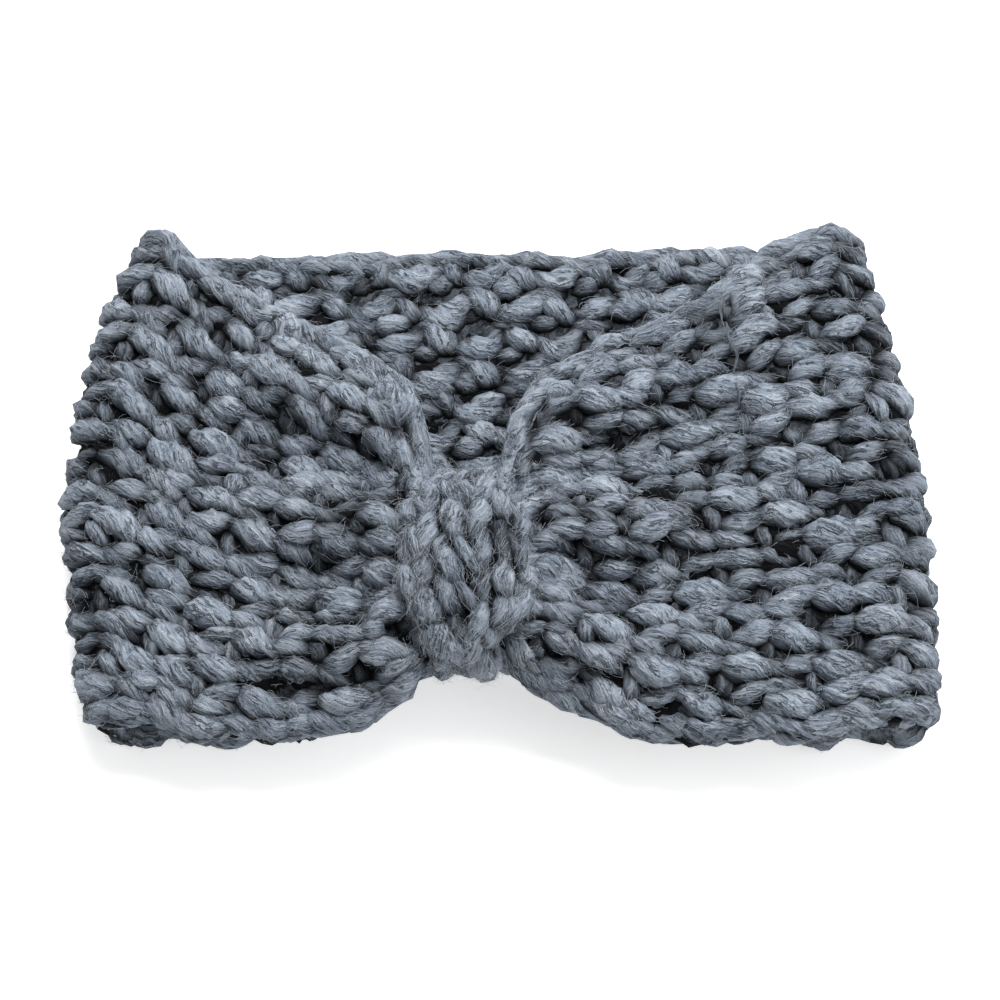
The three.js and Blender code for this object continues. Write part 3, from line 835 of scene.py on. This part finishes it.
# %% [markdown]
# ## The crochet of each face
# The front with its folds and the back are one fabric with one stitch, laid in two pieces.
# The back lies on the table, so its yarn has fewer sides. The inner face shows the stitches'
# other side, as rows of round puffs. Inside the front layer they are hidden but for the pinched
# edge, so they are coarse there.
# %% The outer face: the front with its folds, and the back
EDGE_MARGIN, INNER_MARGIN = 2.5, 1.0


def rows_within(margin):
    """The rows' height, and the bare margin that they leave along both edges."""
    return {"Margin": margin * MM, "Row height": 2 * (HALF_WIDTH - margin) / ROWS * MM}


BASE = rows_within(EDGE_MARGIN) | {
    "Rows": ROWS, "Stitch length": STITCH * MM, "Row shift": 0.5, "Round": LOOP * MM,
    "Width": 2 * HALF_WIDTH * MM, "Flatness": 0.92, "Looseness": 5.6 * MM,
    "Unevenness": 0.7 * MM, "Ripple": 1.3, "Twist": 190.0, "Shading": 1.0, "Material": yarn}
front_stitches = grow("front_stitches", outer_skin, crochet, BASE | {
    "Pattern": arrow_stitch, "First stitch": -0.5, "Stitches": 11, "Sides": 12, "Seed": 21})
back_stitches = grow("back_stitches", outer_skin, crochet, BASE | {
    "Pattern": arrow_stitch, "First stitch": 10.5, "Stitches": 9, "Sides": 8, "Seed": 2})

# %% The inner face of the back and of the front
INNER = BASE | rows_within(INNER_MARGIN) | {"Pattern": inside_stitch}
inside_stitches = grow("inside_stitches", inner_skin, crochet, INNER | {
    "First stitch": 10.5, "Stitches": 9, "Sides": 12, "Seed": 3})
hidden_stitches = grow("hidden_stitches", inner_skin, crochet, INNER | {
    "First stitch": -0.5, "Stitches": 11, "Sides": 6, "Seed": 7})

# %% [markdown]
# The rims are one row of slanted stitches each, and the wrap is three rows that run round the
# neck. A thin pale end of the seam's thread hangs over the upper right of the front.
# %% The rims, the seam thread and the wrap
RIM_WIDTH, BRAID_STITCHES, BRAID_LENGTH, BRAID_WIDTH = 12.0, 15, 9.6, 11.3
# Shading 0.45 weakens the painted shade on the rims, where the deep sides of the strands are in
# view.
RIM = BASE | {
    "Rows": 1, "Row height": 0.0, "Row shift": 0.0, "Margin": 0.0, "Width": RIM_WIDTH * MM,
    "Pattern": edge_stitch, "Stitches": STITCHES, "First stitch": 0.0, "Sides": 12,
    "Looseness": 3 * MM, "Shading": 0.45}
lower_edge = grow("lower_edge", lower_rim, crochet, RIM | {"Seed": 4})
upper_edge = grow("upper_edge", upper_rim, crochet, RIM | {"Seed": 5})
seam_thread = grow("seam_thread", outer_skin, crochet, BASE | {
    "Pattern": seam_stitch, "Rows": 4, "Stitches": 1, "First stitch": 8.5, "Row shift": 0.0,
    "Margin": 108.0 * MM, "Sides": 5, "Seed": 8})
wrap_braids = grow("wrap_braids", wrap_skin, crochet, BASE | {
    "Pattern": braid_stitch, "Rows": BRAIDS, "Stitches": BRAID_STITCHES, "First stitch": 0.0,
    "Stitch length": BRAID_LENGTH * MM, "Row height": BRAID_WIDTH * MM, "Row shift": 0.4,
    "Margin": 0.0, "Round": BRAID_STITCHES * BRAID_LENGTH * MM,
    "Width": BRAIDS * BRAID_WIDTH * MM, "Looseness": 7 * MM, "Unevenness": 1.1 * MM,
    "Sides": 12, "Seed": 6})

# %% [markdown]
# ## Loose fibres
# A soft single yarn is hairy: fine fibres stand off its surface, mostly along the strand, and
# catch the light. A second tree strews points over the shown part of the yarn, sets a bent
# hair on each along the grain, and gives the hairs a thin three-sided body.
# %% The finish of a loose fibre
loose_fibre = paint("loose_fibre", {"Roughness": 0.7, "Sheen Weight": 0.3})
pale = put(loose_fibre.node_tree, "ShaderNodeAttribute", attribute_name="pale").outputs["Fac"]
colour = put(loose_fibre.node_tree, "ShaderNodeMix", {
    "Factor_Float": pale, "A_Color": (*MID_FIBRE, 1), "B_Color": (*PALE_FIBRE, 1)},
    data_type="RGBA")
loose_fibre.node_tree.links.new(
    result(colour), loose_fibre.node_tree.nodes["Principled BSDF"].inputs["Base Color"])

# %% The fuzz tree, step 1: points on the shown yarn, and which way a hair lies there
fuzz, given = open_tree("fuzz", {
    "Density": "Float", "Shortest": "Float", "Longest": "Float", "Lift": "Float",
    "Thickness": "Float", "Depth shown": "Float", "Seed": "Int", "Material": "Material"})
number, vector = sums(fuzz)
chance = chances(fuzz, given["Seed"])
near = number("LESS_THAN", read(fuzz, "sunk"), given["Depth shown"])
strewn = put(fuzz, "GeometryNodeDistributePointsOnFaces", {
    "Mesh": given["Geometry"], "Selection": near, "Density": given["Density"],
    "Seed": given["Seed"]})
grain = vector("ADD", read(fuzz, "grain", "FLOAT_VECTOR"), chance((-0.7,) * 3, (0.7,) * 3, 1))
lie = put(fuzz, "FunctionNodeAxesToRotation", {0: strewn.outputs["Normal"], 1: grain},
          primary_axis="Z", secondary_axis="X").outputs[0]

# %% Step 2: a bent hair of length one, copied and stretched to each point
HAIR_POINTS, HAIR_END, HAIR_ARCH, HAIR_ROOT = 4, 1.15, 4.0, -0.15
HAIR_BEND, LEAST_LIFT = 0.6, 0.15
line = put(fuzz, "GeometryNodeCurvePrimitiveLine", {"Start": (0, 0, 0), "End": (1, 0, 0)})
fine = put(fuzz, "GeometryNodeResampleCurve", {"Curve": line.outputs[0], "Count": HAIR_POINTS})
t = put(fuzz, "GeometryNodeSplineParameter").outputs["Factor"]
arch = number("MULTIPLY", number("MULTIPLY", t, number("SUBTRACT", HAIR_END, t)), HAIR_ARCH)
bent = put(fuzz, "ShaderNodeCombineXYZ", {
    0: t, 1: number("MULTIPLY", t, t), 2: number("ADD", arch, HAIR_ROOT)}).outputs[0]
hair = put(fuzz, "GeometryNodeSetPosition", {"Geometry": fine.outputs[0], "Position": bent})
reach = chance(0.0, 1.0, 2)
spare = number("SUBTRACT", given["Longest"], given["Shortest"])
long = number("ADD", given["Shortest"], number(
    "MULTIPLY", number("MULTIPLY", reach, reach), spare))
size = put(fuzz, "ShaderNodeCombineXYZ", {
    0: long, 1: number("MULTIPLY", chance(-HAIR_BEND, HAIR_BEND, 3), long),
    2: number("MULTIPLY", chance(LEAST_LIFT, 1.0, 4), given["Lift"])}).outputs[0]
hairs = put(fuzz, "GeometryNodeInstanceOnPoints", {
    "Points": strewn.outputs["Points"], "Instance": hair.outputs[0], "Rotation": lie,
    "Scale": size}).outputs[0]
shades = store(fuzz, hairs, "pale", chance(0.0, 1.0, 5), domain="INSTANCE")

# %% Step 3: the hairs curl and get a thin body
CURL_SCALE, CURL_REACH = 420.0, 0.9
real = put(fuzz, "GeometryNodeRealizeInstances", {0: shades}).outputs[0]
place = put(fuzz, "GeometryNodeInputPosition").outputs[0]
curl = put(fuzz, "ShaderNodeTexNoise", {0: place, 2: CURL_SCALE, 3: 1.0}).outputs["Color"]
curled = put(fuzz, "GeometryNodeSetPosition", {
    "Geometry": real, "Offset": vector("SCALE", vector("SUBTRACT", curl, (0.5, 0.5, 0.5)),
                                       scale=number("MULTIPLY", given["Lift"], CURL_REACH))})
ring = put(fuzz, "GeometryNodeCurvePrimitiveCircle", {
    "Resolution": 3, "Radius": given["Thickness"]})
body = put(fuzz, "GeometryNodeCurveToMesh", {
    "Curve": curled.outputs[0], "Profile Curve": ring.outputs[0], "Fill Caps": True}).outputs[0]
laid = put(fuzz, "GeometryNodeSetPosition", {
    "Geometry": body, "Position": vector("MAXIMUM", place, OFF_THE_FLOOR)}).outputs[0]
close_tree(fuzz, laid, given["Material"])

# %% Hairs on the yarn, the most on the gathered wrap
HAIR = {"Shortest": 1.5 * MM, "Longest": 6.0 * MM, "Lift": 0.8 * MM, "Thickness": 0.038 * MM,
        "Depth shown": 1.8, "Material": loose_fibre}
front_fuzz = grow("front_fuzz", front_stitches, fuzz, HAIR | {"Density": 150000.0, "Seed": 11})
wrap_fuzz = grow("wrap_fuzz", wrap_braids, fuzz, HAIR | {"Density": 390000.0, "Seed": 12})
edge_fuzz = grow("edge_fuzz", upper_edge, fuzz, HAIR | {"Density": 90000.0, "Seed": 13})
inside_fuzz = grow("inside_fuzz", inside_stitches, fuzz, HAIR | {"Density": 50000.0, "Seed": 14})

# %% [markdown]
# ## The core
# Between the stitches the eye looks into the fabric, where more yarn lies in shade. A thin
# closed sheet in the middle of the fabric stands for it, so no light shines through. Its yarn is
# painted at a quarter of the brightness: painted shade for the hidden yarn. The wrap has one too.
# %% A closed body between two faces
def closed_ring(name, outer, inner, material):
    """A tube-like body from two grids of points whose first axis runs round the loop."""
    rings = np.concatenate([outer, inner[:, ::-1]], 1)[:-1]
    count, size = rings.shape[:2]
    cells = np.arange(count * size).reshape(count, size)
    right, up = np.roll(cells, -1, 0), np.roll(cells, -1, 1)
    quads = np.stack([cells, right, np.roll(right, -1, 1), up], -1).reshape(-1, 4)
    mesh = bpy.data.meshes.new(name)
    mesh.from_pydata((rings.reshape(-1, 3) * MM).tolist(), [], quads.tolist())
    mesh.materials.append(material)
    mesh.shade_smooth()
    body = bpy.data.objects.new(name, mesh)
    bpy.context.scene.collection.objects.link(body)
    print(name, "has", 2 * len(mesh.polygons), "triangles")
    return body


# %% The cores of the fabric and of the wrap
CORE_SHARE, CORE_STEP, CORE_INSET = 0.3, 4, 2
WRAP_STEP, WRAP_CORE_TOP, WRAP_CORE_BOTTOM = 3, 0.5, 0.1
# The core's yarn is painted dark, at a quarter of the brightness, as painted shade.
painted_shade_yarn = yarn_material("painted_shade_yarn", brightness=0.25, fibre_relief=0.6)
coarse_outer = outer_grid[::CORE_STEP, CORE_INSET:-CORE_INSET:CORE_STEP]
coarse_inner = inner_grid[::CORE_STEP, CORE_INSET:-CORE_INSET:CORE_STEP]
mid_grid, half_grid = (coarse_outer + coarse_inner) / 2, (coarse_outer - coarse_inner) / 2
fabric_core = closed_ring("fabric_core", mid_grid + half_grid * CORE_SHARE,
                          mid_grid - half_grid * CORE_SHARE, painted_shade_yarn)
core_angles, core_shares = wrap_angles[::WRAP_STEP], shares[::WRAP_STEP]
top_grid, bottom_grid = (np.array([wrap_ring(a, core_shares, raised) for a in core_angles])
                         for raised in (WRAP_CORE_TOP, WRAP_CORE_BOTTOM))
wrap_core = closed_ring("wrap_core", top_grid, bottom_grid, painted_shade_yarn)

# %% [markdown]
# ## The pieces on the solid model
# Every piece rides on the one body of the solid model, and the part that it stands for is
# hidden. The skins and the stitch patterns were only tools, so they go.
# %% What each piece stands for
STANDS_FOR = {
    "band": (front_stitches, back_stitches, inside_stitches, hidden_stitches, lower_edge,
             upper_edge, seam_thread, fabric_core, front_fuzz, edge_fuzz, inside_fuzz),
    "center_wrap": (wrap_braids, wrap_fuzz, wrap_core),
}
for part, pieces in STANDS_FOR.items():
    for piece in pieces:
        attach(piece, "root")
        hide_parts(part)
    print(part, "is shown by", len(pieces), "pieces")
for helper in (outer_skin, inner_skin, lower_rim, upper_rim, wrap_skin, arrow_stitch,
               inside_stitch, edge_stitch, seam_stitch, braid_stitch):
    bpy.data.objects.remove(helper)
